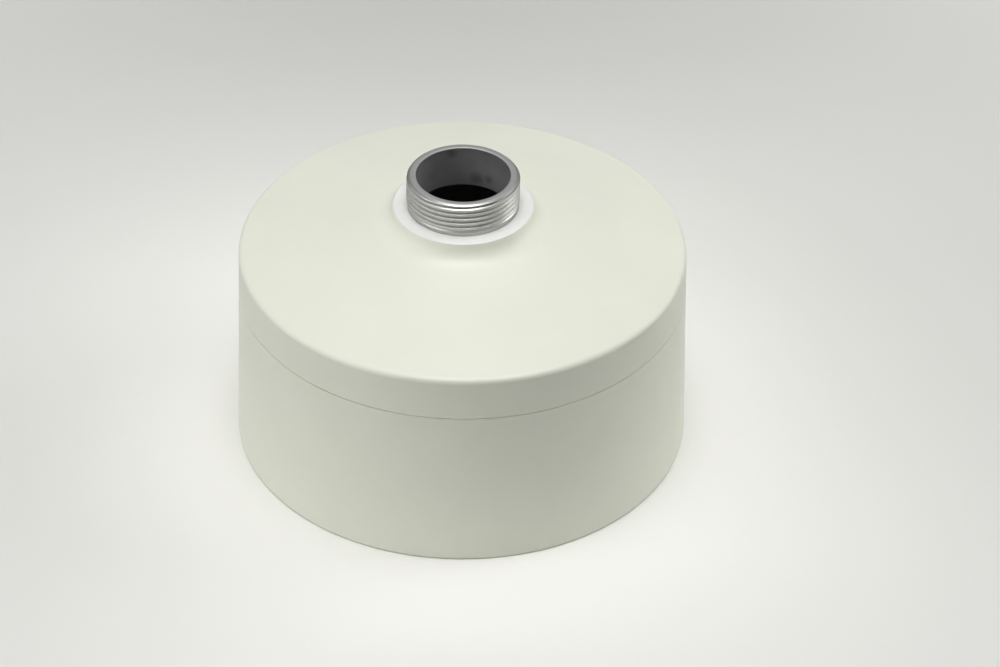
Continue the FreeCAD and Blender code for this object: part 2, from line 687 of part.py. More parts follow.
ground_x, ground_y = polar(POINT_CIRCLE, "ground_angle")
washer_seat = f"{POINT_FLOOR} - ground_washer_height"
ground_washer = flat_ring("ground_washer", "small_screw_radius + screw_clear",
                          "ground_washer_radius", "ground_washer_height")
place(ground_washer, ground_x, ground_y, washer_seat)
ground_screw = socket_screw("ground_screw", "small_screw_radius", "ground_screw_length",
                            "small_head_radius", "small_head_height", "small_key")
place(ground_screw, ground_x, ground_y, washer_seat)
eye = tether_eye()
place(eye, *polar(POINT_CIRCLE, "eye_angle"), POINT_FLOOR)
pieces += [ground_washer, ground_screw, eye]

doc.recompute()
for thing in doc.Objects:
    if "Invalid" in thing.State or "Error" in thing.State:
        raise ValueError(f"{thing.Label} did not build: {thing.State}")
for piece in pieces:
    if piece.Shape.isNull() or not piece.Shape.isValid() or len(piece.Shape.Solids) != 1:
        raise ValueError(f"{piece.Label} is not one valid solid")

os.makedirs("parts", exist_ok=True)
for piece in pieces:
    piece.Shape.exportStep(f"parts/{piece.Label}.step")
    print(f"{piece.Label}: {piece.Shape.Volume:.0f} mm3")
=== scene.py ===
"""Looks of a camera pendant mount: a coated drum with a bare threaded pipe nipple on top."""
import logging
import math
from dataclasses import dataclass

import bmesh
import bpy
from mathutils import Matrix, Vector


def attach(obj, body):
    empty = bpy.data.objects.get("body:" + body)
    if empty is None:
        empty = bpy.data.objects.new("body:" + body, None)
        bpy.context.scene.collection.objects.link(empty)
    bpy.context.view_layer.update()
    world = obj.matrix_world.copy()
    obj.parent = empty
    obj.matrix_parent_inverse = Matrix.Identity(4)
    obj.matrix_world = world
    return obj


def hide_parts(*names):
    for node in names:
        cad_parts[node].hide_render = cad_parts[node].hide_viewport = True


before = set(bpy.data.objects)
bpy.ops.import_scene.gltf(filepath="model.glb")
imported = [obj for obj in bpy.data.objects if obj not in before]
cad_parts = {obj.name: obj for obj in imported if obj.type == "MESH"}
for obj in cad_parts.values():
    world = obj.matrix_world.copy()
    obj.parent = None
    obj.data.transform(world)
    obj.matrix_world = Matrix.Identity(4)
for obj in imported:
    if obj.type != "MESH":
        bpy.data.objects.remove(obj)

log = logging.getLogger("pendant_mount")

Colour = tuple[float, float, float]
Pair = tuple[float, float]
Socket = bpy.types.NodeSocket

# All lengths are in metres.
MM = 0.001
WELD_GAP = 1e-6  # Points this near to each other are one.
CUT_GAP = 1e-7  # Points this near to a cutting plane lie on it.
RIM_GAP = 1e-5  # How far a rim's points may lie off its level.


def shade(colour: Colour, factor: float = 1.0) -> tuple[float, float, float, float]:
    """Make a colour lighter or darker.

    Args:
        colour: Linear red, green and blue.
        factor: What each of them is multiplied by.

    Returns:
        The colour with an alpha of 1.
    """
    return (*(min(1.0, part * factor) for part in colour), 1.0)


def smooth(share: float) -> float:
    """Ease a share in and out.

    Args:
        share: Any number; below 0 counts as 0 and above 1 as 1.

    Returns:
        The eased share, from 0 to 1.
    """
    share = min(1.0, max(0.0, share))
    return share * share * (3 - 2 * share)


class Nodes:
    """Lays out the nodes of one node tree."""

    def __init__(self, tree: bpy.types.NodeTree) -> None:
        """Keep the tree.

        Args:
            tree: The node tree that gets the nodes.
        """
        self.tree = tree

    def fill(self, node: bpy.types.Node, inputs: dict) -> None:
        """Set or link inputs of a node.

        Args:
            node: The node.
            inputs: Values or sockets, by the name or number of the input.
        """
        for key, given in inputs.items():
            if isinstance(given, Socket):
                self.tree.links.new(given, node.inputs[key])
            else:
                node.inputs[key].default_value = given

    def add(self, kind: str, inputs: dict | None = None, **settings: object) -> bpy.types.Node:
        """Add a node.

        Args:
            kind: Type name of the node.
            inputs: Values or sockets for its inputs, by name or number.
            **settings: Attributes of the node.

        Returns:
            The new node.
        """
        node = self.tree.nodes.new(kind)
        for name, setting in settings.items():
            setattr(node, name, setting)
        self.fill(node, inputs or {})
        return node

    def maths(self, operation: str, *values: object) -> Socket:
        """Add a Math node.

        Args:
            operation: Name of the operation.
            *values: Numbers or sockets.

        Returns:
            The output socket.
        """
        node = self.add("ShaderNodeMath", dict(enumerate(values)), operation=operation)
        return node.outputs[0]

    def remap(self, value: Socket, low: float, high: float,
              start: float = 0.0, end: float = 1.0) -> Socket:
        """Carry a value from one range to another.

        Args:
            value: The socket to read.
            low: Result at the start of the range.
            high: Result at its end.
            start: Start of the range that is read.
            end: End of the range that is read.

        Returns:
            The output socket.
        """
        return self.add("ShaderNodeMapRange", {
            "Value": value, "From Min": start, "From Max": end,
            "To Min": low, "To Max": high}).outputs["Result"]

    def blend(self, share: Socket, first: object, second: object) -> Socket:
        """Mix two colours.

        Args:
            share: Share of the second colour.
            first: Colour at 0, four numbers or a socket.
            second: Colour at 1, likewise.

        Returns:
            The mixed colour.
        """
        node = self.add("ShaderNodeMix", {"Factor": share}, data_type="RGBA")
        slots = [i for i, socket in enumerate(node.inputs) if socket.type == "RGBA"]
        self.fill(node, dict(zip(slots, (first, second))))
        return next(socket for socket in node.outputs if socket.type == "RGBA")

    def toned(self, share: Socket, colour: Colour, shades: Pair) -> Socket:
        """Let a colour drift between two of its shades.

        Args:
            share: Share of the second shade.
            colour: The colour.
            shades: What it is multiplied by at 0 and at 1.

        Returns:
            The drifting colour.
        """
        return self.blend(share, *(shade(colour, factor) for factor in shades))

    def polar(self, place: Socket) -> tuple[Socket, Socket]:
        """Find the distance from Z and the height of a place.

        Args:
            place: Coordinates to read.

        Returns:
            The radius and the height.
        """
        split = self.add("ShaderNodeSeparateXYZ", {"Vector": place})
        flat = self.add("ShaderNodeCombineXYZ", {"X": split.outputs["X"],
                                                 "Y": split.outputs["Y"]})
        radius = self.add("ShaderNodeVectorMath", {0: flat.outputs[0]}, operation="LENGTH")
        return radius.outputs["Value"], split.outputs["Z"]


class Surface(Nodes):
    """A new material with its nodes, its shader and its Object coordinates."""

    def __init__(self, name: str, colour: Colour) -> None:
        """Start the material.

        Args:
            name: Name of the material.
            colour: Colour shown in a plain viewport.
        """
        self.material = bpy.data.materials.new(name)
        self.material.use_nodes = True
        self.material.diffuse_color = (*colour, 1.0)
        super().__init__(self.material.node_tree)
        self.tree.nodes.clear()
        self.shader = self.add("ShaderNodeBsdfPrincipled")
        self.add("ShaderNodeOutputMaterial", {"Surface": self.shader.outputs["BSDF"]})
        self.place = self.add("ShaderNodeTexCoord").outputs["Object"]

    def height(self) -> Socket:
        """Height of the place that is shaded."""
        return self.add("ShaderNodeSeparateXYZ", {"Vector": self.place}).outputs["Z"]

    def bump(self, height: Socket, strength: float, depth: float) -> None:
        """Let a height stand out of the surface.

        Args:
            height: The height, from 0 to 1.
            strength: Strength of the bump.
            depth: What a height of 1 stands for, in metres.
        """
        bump = self.add("ShaderNodeBump", {
            "Height": height, "Strength": strength, "Distance": depth})
        self.fill(self.shader, {"Normal": bump.outputs["Normal"]})

    def finish(self, inputs: dict) -> bpy.types.Material:
        """Set or link the shader's inputs and hand out the material."""
        self.fill(self.shader, inputs)
        return self.material


def new_group(name: str, numbers: tuple[str, ...],
              outputs: tuple[str, ...]) -> tuple[Nodes, bpy.types.Node, bpy.types.Node]:
    """Start a shader node group that reads a place and some numbers.

    Args:
        name: Name of the group.
        numbers: Names of the inputs after the place, all of them numbers.
        outputs: Names of the outputs, all of them numbers.

    Returns:
        The group's nodes, its input node and its output node.
    """
    tree = bpy.data.node_groups.new(name, "ShaderNodeTree")
    tree.interface.new_socket(name="Place", in_out="INPUT", socket_type="NodeSocketVector")
    for way, labels in (("INPUT", numbers), ("OUTPUT", outputs)):
        for label in labels:
            tree.interface.new_socket(name=label, in_out=way, socket_type="NodeSocketFloat")
    nodes = Nodes(tree)
    return nodes, nodes.add("NodeGroupInput"), nodes.add("NodeGroupOutput")


def build_grain_group(noise_range: Pair = (0.3, 0.7)) -> bpy.types.NodeTree:
    """Fine and coarse grain of a sprayed or moulded surface.

    Args:
        noise_range: Part of the coarse noise that fills the tone from 0 to 1.

    Returns:
        The group, which puts out a height and a tone.
    """
    nodes, given, out = new_group("SurfaceGrain", ("Fine", "Coarse"), ("Height", "Tone"))
    fine = nodes.add("ShaderNodeTexNoise", {
        "Vector": given.outputs["Place"], "Scale": given.outputs["Fine"],
        "Detail": 2.0, "Roughness": 0.45})
    coarse = nodes.add("ShaderNodeTexNoise", {
        "Vector": given.outputs["Place"], "Scale": given.outputs["Coarse"],
        "Detail": 3.0, "Roughness": 0.5})
    tone = nodes.remap(coarse.outputs["Fac"], 0.0, 1.0, *noise_range)
    nodes.fill(out, {"Height": fine.outputs["Fac"], "Tone": tone})
    return nodes.tree


def build_lathe_group(noise_range: Pair = (0.35, 0.65)) -> bpy.types.NodeTree:
    """Turning marks that run around Z, as rings of uneven depth.

    Args:
        noise_range: Part of the slow drift that fills the tone from 0 to 1.

    Returns:
        The group, which puts out a height and a tone.
    """
    nodes, given, out = new_group("LatheMarks", ("Rings",), ("Height", "Tone"))
    radius, height = nodes.polar(given.outputs["Place"])
    run = nodes.maths("ADD", height, radius)
    rings = nodes.add("ShaderNodeTexNoise", {
        "W": run, "Scale": given.outputs["Rings"], "Detail": 2.0}, noise_dimensions="1D")
    drift = nodes.add("ShaderNodeTexNoise", {
        "W": run, "Scale": 350.0, "Detail": 1.0}, noise_dimensions="1D")
    tone = nodes.remap(drift.outputs["Fac"], 0.0, 1.0, *noise_range)
    nodes.fill(out, {"Height": rings.outputs["Fac"], "Tone": tone})
    return nodes.tree


def build_stain_group(threshold: float = 0.75, contrast: float = 4.0) -> bpy.types.NodeTree:
    """Soft uneven patches of oil, oxide and handling.

    Args:
        threshold: Noise above which a patch starts when the amount is 0.
        contrast: How fast a patch reaches its full strength.

    Returns:
        The group, which puts out a mask.
    """
    nodes, given, out = new_group("Stains", ("Size", "Amount"), ("Mask",))
    noise = nodes.add("ShaderNodeTexNoise", {
        "Vector": given.outputs["Place"], "Scale": given.outputs["Size"],
        "Detail": 5.0, "Roughness": 0.6, "Distortion": 0.6})
    missing = nodes.maths("SUBTRACT", 1.0, given.outputs["Amount"])
    above = nodes.maths("SUBTRACT", noise.outputs["Fac"],
                        nodes.maths("MULTIPLY", missing, threshold))
    mask = nodes.add("ShaderNodeClamp", {"Value": nodes.maths("MULTIPLY", above, contrast)})
    nodes.fill(out, {"Mask": mask.outputs[0]})
    return nodes.tree


@dataclass(frozen=True)
class Effects:
    """Node groups that the finishes share."""

    grain: bpy.types.NodeTree
    lathe: bpy.types.NodeTree
    stains: bpy.types.NodeTree

    @staticmethod
    def build() -> "Effects":
        """Make each group once."""
        return Effects(build_grain_group(), build_lathe_group(), build_stain_group())


@dataclass(frozen=True)
class Grain:
    """Grain of one surface: its two noise scales and how far it stands out."""

    fine: float
    coarse: float
    strength: float
    depth: float

    def lay(self, surface: Surface, effects: Effects) -> Socket:
        """Lay the grain on a surface.

        Args:
            surface: The surface that gets its bump.
            effects: The shared node groups.

        Returns:
            The grain's tone.
        """
        grain = surface.add("ShaderNodeGroup", {
            "Place": surface.place, "Fine": self.fine, "Coarse": self.coarse,
        }, node_tree=effects.grain)
        surface.bump(grain.outputs["Height"], self.strength, self.depth)
        return grain.outputs["Tone"]


@dataclass(frozen=True)
class PowderCoat:
    """Satin cream-white powder coat on the outside of the castings; inside, a dark grey that
    is partly bare metal and partly painted shade.
    """

    effects: Effects
    name: str = "cream_powder_coat"
    colour: Colour = (0.800, 0.815, 0.706)
    shades: Pair = (0.985, 1.01)
    roughness: Pair = (0.40, 0.45)
    grain: Grain = Grain(fine=700.0, coarse=30.0, strength=0.25, depth=0.00005)
    # Painted shade: the inside is darker than bare metal, so the drum's interior stays dark
    # through the bore.
    inside_shade: Colour = (0.22, 0.22, 0.215)
    inside_shade_drift: Pair = (0.8, 1.2)
    inside_duller: float = 0.13
    seam: float = 73.2 * MM
    # Painted highlight: a paler band around the seam stands for light caught by the joint's
    # rounded edges.
    seam_highlight_half: float = 0.33 * MM
    seam_highlight_colour: Colour = (0.92, 0.915, 0.77)
    wall_foot: float = 95.6 * MM
    wall_lean: float = 0.0315
    roof_middle: float = 113.2 * MM
    roof_lean: float = 0.240

    def inner_mask(self, nodes: Nodes, radius: Socket, height: Socket) -> Socket:
        """Tell the castings' inner faces from their outside.

        Args:
            nodes: The material's nodes.
            radius: Distance from Z.
            height: Height above the bottom rim.

        Returns:
            1 inside the cones through the middle of the wall and the roof, 0 outside.
        """
        wall = nodes.maths("SUBTRACT", self.wall_foot,
                           nodes.maths("MULTIPLY", height, self.wall_lean))
        roof = nodes.maths("SUBTRACT", self.roof_middle,
                           nodes.maths("MULTIPLY", radius, self.roof_lean))
        return nodes.maths("MULTIPLY", nodes.maths("LESS_THAN", radius, wall),
                           nodes.maths("LESS_THAN", height, roof))

    def build(self) -> bpy.types.Material:
        """Make the material.

        Returns:
            A nearly even cream with a faint orange peel and a painted highlight along
            the seam; inside, a dull dark grey, partly bare metal and partly painted shade.
        """
        surface = Surface(self.name, self.colour)
        tone = self.grain.lay(surface, self.effects)
        radius, height = surface.polar(surface.place)
        inside = self.inner_mask(surface, radius, height)
        # Painted highlight along the seam.
        seam_highlight = surface.maths("COMPARE", height, self.seam, self.seam_highlight_half)
        coat = surface.blend(seam_highlight, surface.toned(tone, self.colour, self.shades),
                             shade(self.seam_highlight_colour))
        # Painted shade on the inner faces: a dark grey that drifts with the grain.
        metal = surface.toned(tone, self.inside_shade, self.inside_shade_drift)
        duller = surface.maths("MULTIPLY", inside, self.inside_duller)
        return surface.finish({
            "Base Color": surface.blend(inside, coat, metal),
            "Roughness": surface.maths("ADD", surface.remap(tone, *self.roughness), duller),
        })


@dataclass(frozen=True)
class TurnedMetal:
    """Bare lathe-turned metal outside the pipe nipple."""

    effects: Effects
    name: str = "bare_turned_metal"
    colour: Colour = (0.500, 0.500, 0.482)
    roughness: Pair = (0.34, 0.42)
    rings: float = 3000.0
    mark_strength: float = 0.25
    mark_depth: float = 0.00003
    haze_size: float = 160.0
    haze_amount: float = 0.30
    haze_shades: Pair = (1.0, 0.86)
    haze_duller: float = 0.06
    lead: Pair = (126.3 * MM, 126.7 * MM)
    lead_tone: float = 0.70
    top: float = 128.1 * MM
    top_half: float = 0.02 * MM

    def build(self) -> bpy.types.Material:
        """Make the material.

        Returns:
            Bright grey metal with fine turning marks and a little handling haze, and
            a duller lead chamfer at the top of the thread.
        """
        surface = Surface(self.name, self.colour)
        lathe = surface.add("ShaderNodeGroup", {
            "Place": surface.place, "Rings": self.rings,
        }, node_tree=self.effects.lathe)
        stains = surface.add("ShaderNodeGroup", {
            "Place": surface.place, "Size": self.haze_size, "Amount": self.haze_amount,
        }, node_tree=self.effects.stains)
        surface.bump(lathe.outputs["Height"], self.mark_strength, self.mark_depth)
        haze, height = stains.outputs["Mask"], surface.height()
        chamfer = surface.maths("SUBTRACT", surface.remap(height, 0.0, 1.0, *self.lead),
                                surface.maths("COMPARE", height, self.top, self.top_half))
        turned = surface.toned(haze, self.colour, self.haze_shades)
        rough = surface.remap(lathe.outputs["Tone"], *self.roughness)
        duller = surface.maths("MULTIPLY", haze, self.haze_duller)
        return surface.finish({
            "Base Color": surface.blend(chamfer, turned, shade(self.colour, self.lead_tone)),
            "Roughness": surface.maths("ADD", rough, duller),
            "Metallic": 1.0,
        })


@dataclass(frozen=True)
class DullBore:
    """Dull oxidised metal inside the nipple, with three dark oily blotches."""

    effects: Effects
    name: str = "dull_bore_metal"
    # Painted light: the lighter grey at the bottom of the bore, fading to the darker colour at
    # its top.
    deep_painted_light: Colour = (0.440, 0.443, 0.445)
    colour: Colour = (0.115, 0.115, 0.115)
    low: float = 109.5 * MM
    high: float = 128.1 * MM
    drift: Pair = (-0.12, 0.12)
    roughness: Pair = (0.50, 0.38)
    metallic: float = 0.2
    grain: Grain = Grain(fine=900.0, coarse=70.0, strength=0.2, depth=0.00003)
    stain: float = 0.42
    stain_tone: float = 0.2
    core: float = 0.2
    jitter: Pair = (-0.0018, 0.0018)
    jitter_scale: float = 260.0
    blotches: tuple[tuple[float, float, float, float], ...] = (
        (-0.00485, 0.01925, 0.12535, 0.0030),
        (0.00584, 0.01897, 0.1128, 0.0042),
        (0.0110, 0.0165, 0.1140, 0.0030),
    )

    def blotch_mask(self, surface: Surface) -> Socket:
        """Mark soft uneven spots on the wall.

        Args:
            surface: The surface that gets them.

        Returns:
            Share of stain.
        """
        noise = surface.add("ShaderNodeTexNoise", {
            "Vector": surface.place, "Scale": self.jitter_scale,
            "Detail": 3.0, "Roughness": 0.6})
        jitter = surface.remap(noise.outputs["Fac"], *self.jitter)
        total: object = 0.0
        for x, y, z, reach in self.blotches:
            gap = surface.add("ShaderNodeVectorMath", {0: surface.place, 1: (x, y, z)},
                              operation="DISTANCE")
            near = surface.maths("ADD", gap.outputs["Value"], jitter)
            spot = surface.remap(near, self.stain, 0.0, reach * self.core, reach)
            total = surface.maths("MAXIMUM", total, spot)
        return total

    def build(self) -> bpy.types.Material:
        """Make the material.

        Returns:
            Grey metal that darkens towards the top, with soft patches of oil and oxide; the
            lighter bottom is painted light that lifts the shade deep in the bore.
        """
        surface = Surface(self.name, self.colour)
        tone = self.grain.lay(surface, self.effects)
        blotch = self.blotch_mask(surface)
        # Painted light: lighter at the bottom of the bore, darker at its top.
        rise = surface.remap(surface.height(), 0.0, 1.0, self.low, self.high)
        share = surface.maths("ADD", rise, surface.remap(tone, *self.drift))
        clean = surface.blend(share, shade(self.deep_painted_light), shade(self.colour))
        return surface.finish({
            "Base Color": surface.blend(blotch, clean, shade(self.colour, self.stain_tone)),
            "Roughness": surface.remap(blotch, *self.roughness),
            "Metallic": self.metallic,
        })


@dataclass(frozen=True)
class Grained:
    """A finish whose colour and roughness drift with its grain."""

    effects: Effects
    name: str
    colour: Colour
    roughness: Pair
    shades: Pair
    metallic: float
    grain: Grain

    def build(self) -> bpy.types.Material:
        """Make the material.

        Returns:
            An even surface with soft clouds and a faint grain.
        """
        surface = Surface(self.name, self.colour)
        tone = self.grain.lay(surface, self.effects)
        return surface.finish({
            "Base Color": surface.toned(tone, self.colour, self.shades),
            "Roughness": surface.remap(tone, *self.roughness),
            "Metallic": self.metallic,
        })


@dataclass(frozen=True)
class ZincPlate(Grained):
    """Zinc-plated steel of the inner plate and the fasteners."""

    name: str = "zinc_plated_steel"
    colour: Colour = (0.60, 0.62, 0.63)
    roughness: Pair = (0.44, 0.32)
    shades: Pair = (0.90, 1.06)
    metallic: float = 1.0
    grain: Grain = Grain(fine=2500.0, coarse=120.0, strength=0.2, depth=0.00002)


@dataclass(frozen=True)
class Moulded(Grained):
    """Moulded polymer: the white washer, and the black rubber pieces."""

    shades: Pair = (0.95, 1.03)
    metallic: float = 0.0
    grain: Grain = Grain(fine=1800.0, coarse=80.0, strength=0.25, depth=0.00003)


@dataclass(frozen=True)
class Palette:
    """Every material of the mount, made once."""

    coat: bpy.types.Material
    turned: bpy.types.Material
    bore: bpy.types.Material
    zinc: bpy.types.Material
    nylon: bpy.types.Material
    rubber: bpy.types.Material

    @staticmethod
    def build() -> "Palette":
        """Make the materials from their finishes."""
        effects = Effects.build()
        nylon = Moulded(effects, "white_nylon",
                        colour=(0.83, 0.835, 0.81), roughness=(0.51, 0.60))
        rubber = Moulded(effects, "black_rubber",
                         colour=(0.018, 0.018, 0.019), roughness=(0.66, 0.75))
        return Palette(
            coat=PowderCoat(effects).build(),
            turned=TurnedMetal(effects).build(),
            bore=DullBore(effects).build(),
            zinc=ZincPlate(effects).build(),
            nylon=nylon.build(),
            rubber=rubber.build(),
        )


def finish_piece(name: str, maker: bmesh.types.BMesh, material: bpy.types.Material,
                 slot: str, *replaced: str, sharp: float = 35.0) -> bpy.types.Object:
    """Turn a bmesh into a finished piece of the scene.

    Args:
        name: Name of the piece.
        maker: The bmesh, which is freed.
        material: Its material.
        slot: The record's material slot; not used.
        *replaced: Nodes that it stands for.
        sharp: Edges that turn by more degrees than this stay crisp.

    Returns:
        The new object.
    """
    bmesh.ops.recalc_face_normals(maker, faces=maker.faces)
    mesh = bpy.data.meshes.new(name)
    maker.to_mesh(mesh)
    maker.free()
    for face in mesh.polygons:
        face.use_smooth = True
    mesh.set_sharp_from_angle(angle=math.radians(sharp))
    mesh.materials.append(material)
    piece = bpy.data.objects.new(name, mesh)
    bpy.context.scene.collection.objects.link(piece)
    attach(piece, "root")
    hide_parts(*replaced)
    log.info("%s: %d faces", name, len(mesh.polygons))
    return piece


def dress_node(node: str, material: bpy.types.Material) -> None:
    """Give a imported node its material.

    Args:
        node: Name of the node.
        material: Its material.
    """
    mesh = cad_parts[node].data
    mesh.materials.clear()
    mesh.materials.append(material)
    log.info("%s dressed with %s", node, material.name)


def spin_chain(maker: bmesh.types.BMesh, chain: list[Pair], steps: int,
               turns: int = 1, rise: float = 0.0) -> None:
    """Spin a chain of points around Z, as a closed ring or as a helix.

    Args:
        maker: The bmesh that gets the surface.
        chain: Radius and height of each point, in metres.
        steps: Steps of one turn.
        turns: Number of turns.
        rise: Height of one turn; where it is 0, the chain and its one turn are closed.
    """
    points = [maker.verts.new((radius, 0.0, height)) for radius, height in chain]
    ring = rise == 0.0
    ends = points[1:] + points[:1] if ring else points[1:]
    edges = [maker.edges.new(pair) for pair in zip(points, ends)]
    bmesh.ops.spin(maker, geom=points + edges, cent=(0, 0, 0), axis=(0, 0, 1),
                   dvec=(0, 0, rise / steps), angle=math.tau * turns, steps=steps * turns,
                   use_merge=ring, use_normal_flip=False, use_duplicate=False)


def cut_level(maker: bmesh.types.BMesh, height: float, **clear: bool) -> None:
    """Cut a bmesh along a level plane.

    Args:
        maker: The bmesh.
        height: Height of the plane.
        **clear: clear_outer takes away what is above, clear_inner what is below.
    """
    bmesh.ops.bisect_plane(
        maker, geom=maker.verts[:] + maker.edges[:] + maker.faces[:], dist=CUT_GAP,
        plane_co=(0, 0, height), plane_no=(0, 0, 1), **clear)


def run_rings(maker: bmesh.types.BMesh, loop: list[bmesh.types.BMEdge], radius: float,
              height: float, rings: list[Pair]) -> list[bmesh.types.BMEdge]:
    """Extrude a level ring of edges through further rings around Z.

    Args:
        maker: The bmesh that holds the ring.
        loop: Edges of the starting ring.
        radius: Its radius.
        height: Its height.
        rings: Radius and height of each further ring.

    Returns:
        The edges of the last ring.
    """
    for next_radius, next_height in rings:
        grown = bmesh.ops.extrude_edge_only(maker, edges=loop)["geom"]
        fresh = [part for part in grown if isinstance(part, bmesh.types.BMVert)]
        loop = [part for part in grown if isinstance(part, bmesh.types.BMEdge)]
        ratio = next_radius / radius
        bmesh.ops.scale(maker, vec=(ratio, ratio, 1.0), verts=fresh)
        bmesh.ops.translate(maker, vec=(0.0, 0.0, next_height - height), verts=fresh)
        radius, height = next_radius, next_height
    return loop


@dataclass(frozen=True)
class ThreadedNipple:
    """Pipe nipple with a true helical pipe thread, and its flange below the roof."""

    crest: float = 23.9 * MM
    pitch: float = 25.4 / 11 * MM
    depth: float = 1.15 * MM
    flank: tuple[Pair, ...] = (
        (0.0, 0.0), (0.0, 0.07), (0.12, 0.12), (0.90, 0.27), (0.98, 0.31), (1.0, 0.36))
    first_crest: float = 125.75 * MM
    front_phase: float = 0.25
    spare_turns: int = 2
    neck: float = 23.4 * MM
    top: float = 128.1 * MM
    flat: float = 22.36 * MM
    lead: float = 1.54 * MM
    lead_steps: int = 8
    shelf: Pair = (0.7 * MM, 0.41 * MM)
    foot: float = 113.4 * MM
    fade_start: float = 0.3 * MM
    fade: float = 3.6 * MM
    bore: float = 19.85 * MM
    bore_reach: float = 0.375 * MM
    bore_end: float = 109.5 * MM
    seat: float = 108.5 * MM
    shoulder: float = 112.4 * MM
    mouth: float = 26.1 * MM
    flange: float = 29.0 * MM
    flange_low: float = 105.5 * MM
    soft: float = 0.25 * MM
    soft_middle: float = 0.3
    sharp: float = 40.0
    steps: int = 120

    def one_pitch(self, start: float) -> list[Pair]:
        """Draw the thread's profile along one pitch, from root to root.

        Args:
            start: Height of its lower end.

        Returns:
            Radius and height of each point.
        """
        root = self.crest - self.depth
        upper = [(share, 1.0 - run) for share, run in reversed(self.flank)]
        return [(root + share * self.depth, start + run * self.pitch)
                for share, run in (*self.flank, *upper)]

    def lead_radius(self, below: float) -> float:
        """Radius of the lead: a gentle shelf at the top face, then a steeper chamfer.

        Args:
            below: Distance below the top face.

        Returns:
            The largest radius there.
        """
        width, drop = self.shelf
        if below < drop:
            return self.flat + width * below / drop
        slope = (self.crest - self.flat - width) / (self.lead - drop)
        return self.flat + width + (below - drop) * slope

    def spin_skin(self, maker: bmesh.types.BMesh) -> None:
        """Spin the thread's skin, with some turns to spare at both ends.

        Args:
            maker: The bmesh that gets the skin.
        """
        turns = math.ceil((self.top - self.foot) / self.pitch) + 2 * self.spare_turns
        below = math.ceil((self.first_crest - self.foot) / self.pitch) + self.spare_turns
        start = self.first_crest - (below + self.front_phase) * self.pitch
        spin_chain(maker, self.one_pitch(start), self.steps, turns, self.pitch)
        bmesh.ops.remove_doubles(maker, verts=maker.verts, dist=WELD_GAP)

    def shape_ends(self, maker: bmesh.types.BMesh) -> None:
        """Taper the skin's lead, let it fade out above the washer and trim it.

        Args:
            maker: The bmesh that holds the skin.
        """
        cut_level(maker, self.top - self.shelf[1])
        for step in range(1, self.lead_steps + 1):
            cut_level(maker, self.top - self.lead * step / self.lead_steps)
        for vert in maker.verts:
            radius = math.hypot(vert.co.x, vert.co.y)
            share = smooth((vert.co.z - self.foot - self.fade_start) / self.fade)
            wanted = self.neck + (radius - self.neck) * share
            wanted = min(wanted, self.lead_radius(self.top - vert.co.z))
            vert.co.x *= wanted / radius
            vert.co.y *= wanted / radius
        cut_level(maker, self.top, clear_outer=True)
        cut_level(maker, self.foot, clear_inner=True)

    def build(self, palette: Palette) -> None:
        """Build the nipple as one closed piece.

        Args:
            palette: The mount's materials.
        """
        maker = bmesh.new()
        self.spin_skin(maker)
        self.shape_ends(maker)
        rim = [e for e in maker.edges if e.is_boundary]
        upper = [e for e in rim if all(v.co.z > self.top - RIM_GAP for v in e.verts)]
        lower = [e for e in rim if all(v.co.z < self.foot + RIM_GAP for v in e.verts)]
        soft, middle = self.soft, self.soft * self.soft_middle
        last = run_rings(maker, upper, self.flat, self.top, [
            (self.bore + soft, self.top),
            (self.bore + middle, self.top - middle),
            (self.bore, self.top - soft),
            (self.bore, self.bore_end),
            (self.mouth, self.flange_low),
            (self.flange - soft, self.flange_low),
            (self.flange, self.flange_low + soft),
            (self.flange, self.seat - soft),
            (self.flange - soft, self.seat),
            (self.crest, self.seat),
            (self.crest, self.shoulder),
            (self.neck, self.shoulder + soft),
        ])
        bmesh.ops.bridge_loops(maker, edges=last + lower)
        piece = finish_piece("nipple_threaded", maker, palette.turned, "bare_steel",
                             "pipe_nipple", sharp=self.sharp)
        piece.data.materials.append(palette.bore)
        for face in piece.data.polygons:
            near = face.center.xy.length < self.bore + self.bore_reach
            if near and face.center.z < self.top - soft:
                face.material_index = 1


@dataclass(frozen=True)
class SealingWasher:
    """White washer on the boss, with soft edges."""

    inside: float = 23.43 * MM
    outside: float = 29.6 * MM
    low: float = 112.4 * MM
    height: float = 0.7 * MM
    soft: float = 0.15 * MM
    edge: float = 0.5 * MM
    segments: int = 4
    steps: int = 160

    def build(self, palette: Palette) -> None:
        """Build the washer.

        Args:
            palette: The mount's materials.
        """
        maker = bmesh.new()
        high = self.low + self.height
        spin_chain(maker, [
            (self.inside, self.low), (self.outside, self.low),
            (self.outside, high), (self.inside, high)], self.steps)
        for radius, width in ((self.inside, self.soft), (self.outside, self.edge)):
            ring = [e for e in maker.edges if all(
                v.co.z > high - WELD_GAP and abs(v.co.xy.length - radius) < WELD_GAP
                for v in e.verts)]
            bmesh.ops.bevel(maker, geom=ring, offset=width, offset_type="OFFSET",
                            segments=self.segments, profile=0.5, affect="EDGES", material=-1)
        finish_piece("washer_white", maker, palette.nylon, "white_nylon", "thread_washer")


@dataclass(frozen=True)
class Castings:
    """The coated cap and drum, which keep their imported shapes."""

    nodes: tuple[str, ...] = ("top_cap", "drum_housing")

    def build(self, palette: Palette) -> None:
        """Dress both castings.

        Args:
            palette: The mount's materials.
        """
        for node in self.nodes:
            dress_node(node, palette.coat)


